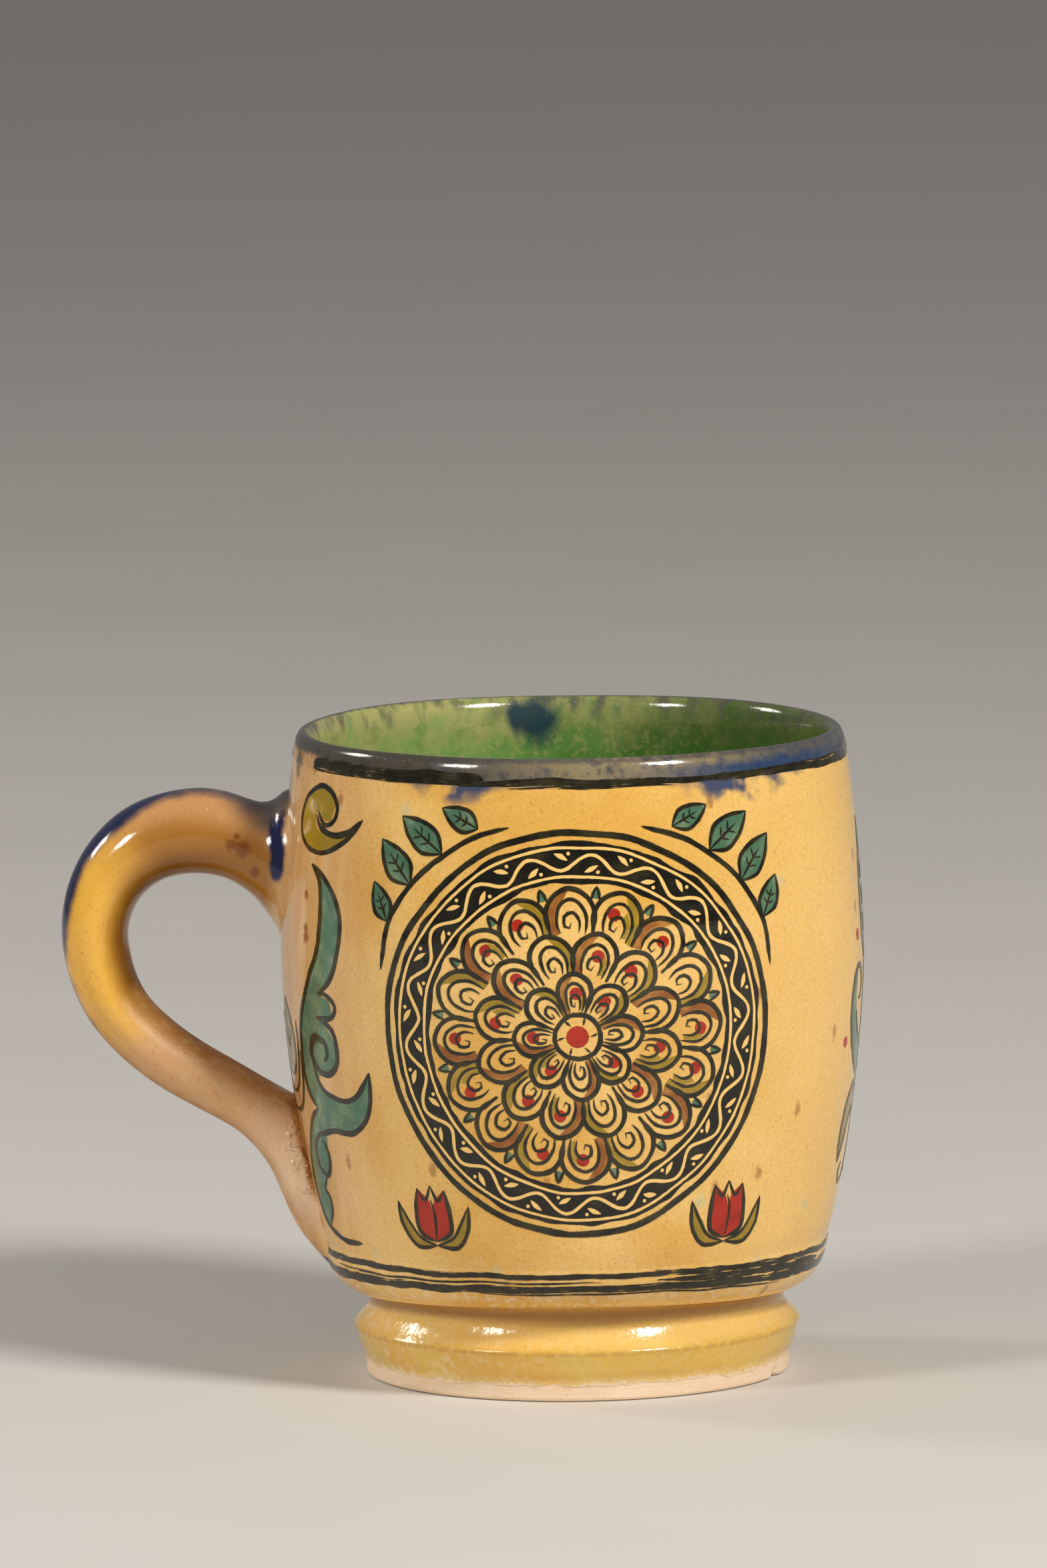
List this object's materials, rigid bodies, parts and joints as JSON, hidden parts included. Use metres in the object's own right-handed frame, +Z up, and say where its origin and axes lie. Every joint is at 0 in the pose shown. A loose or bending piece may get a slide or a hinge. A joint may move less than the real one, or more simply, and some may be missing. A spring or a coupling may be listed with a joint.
{
  "type": "mug",
  "caption": "Hand-thrown glazed clay mug with a bellied barrel, turned ring foot and pulled loop handle, for hot or cold drinks.",
  "frame": {"origin": "centre of the ring that the mug stands on, at table height", "axes": "+Z up along the barrel's axis; -X towards the handle, so that X is the longest extent; Y across the handle"},
  "size_m": [0.1214, 0.088, 0.098],
  "materials": {
    "fired_clay": "bare fired clay, matt and slightly sandy",
    "fired_slip": "fired joining slip, matt",
    "green_glaze": "glossy mottled green lining",
    "cobalt_glaze": "glossy blue that runs below the lip",
    "honey_glaze": "glossy honey-cream glaze over brush painting",
    "ochre_glaze": "glossy ochre, thick in the waist",
    "amber_glaze": "glossy amber with a blue brush stroke along the back"
  },
  "bodies": {
    "root": {"barrel": "fired_clay", "foot_ring": "fired_clay", "handle": "fired_clay", "foot_slip_joint": "fired_slip", "upper_slip_joint": "fired_slip", "lower_slip_joint": "fired_slip", "lining_glaze": "green_glaze", "rim_glaze": "cobalt_glaze", "barrel_glaze": "honey_glaze", "foot_glaze": "ochre_glaze", "handle_glaze": "amber_glaze"}
  },
  "joints": []
}
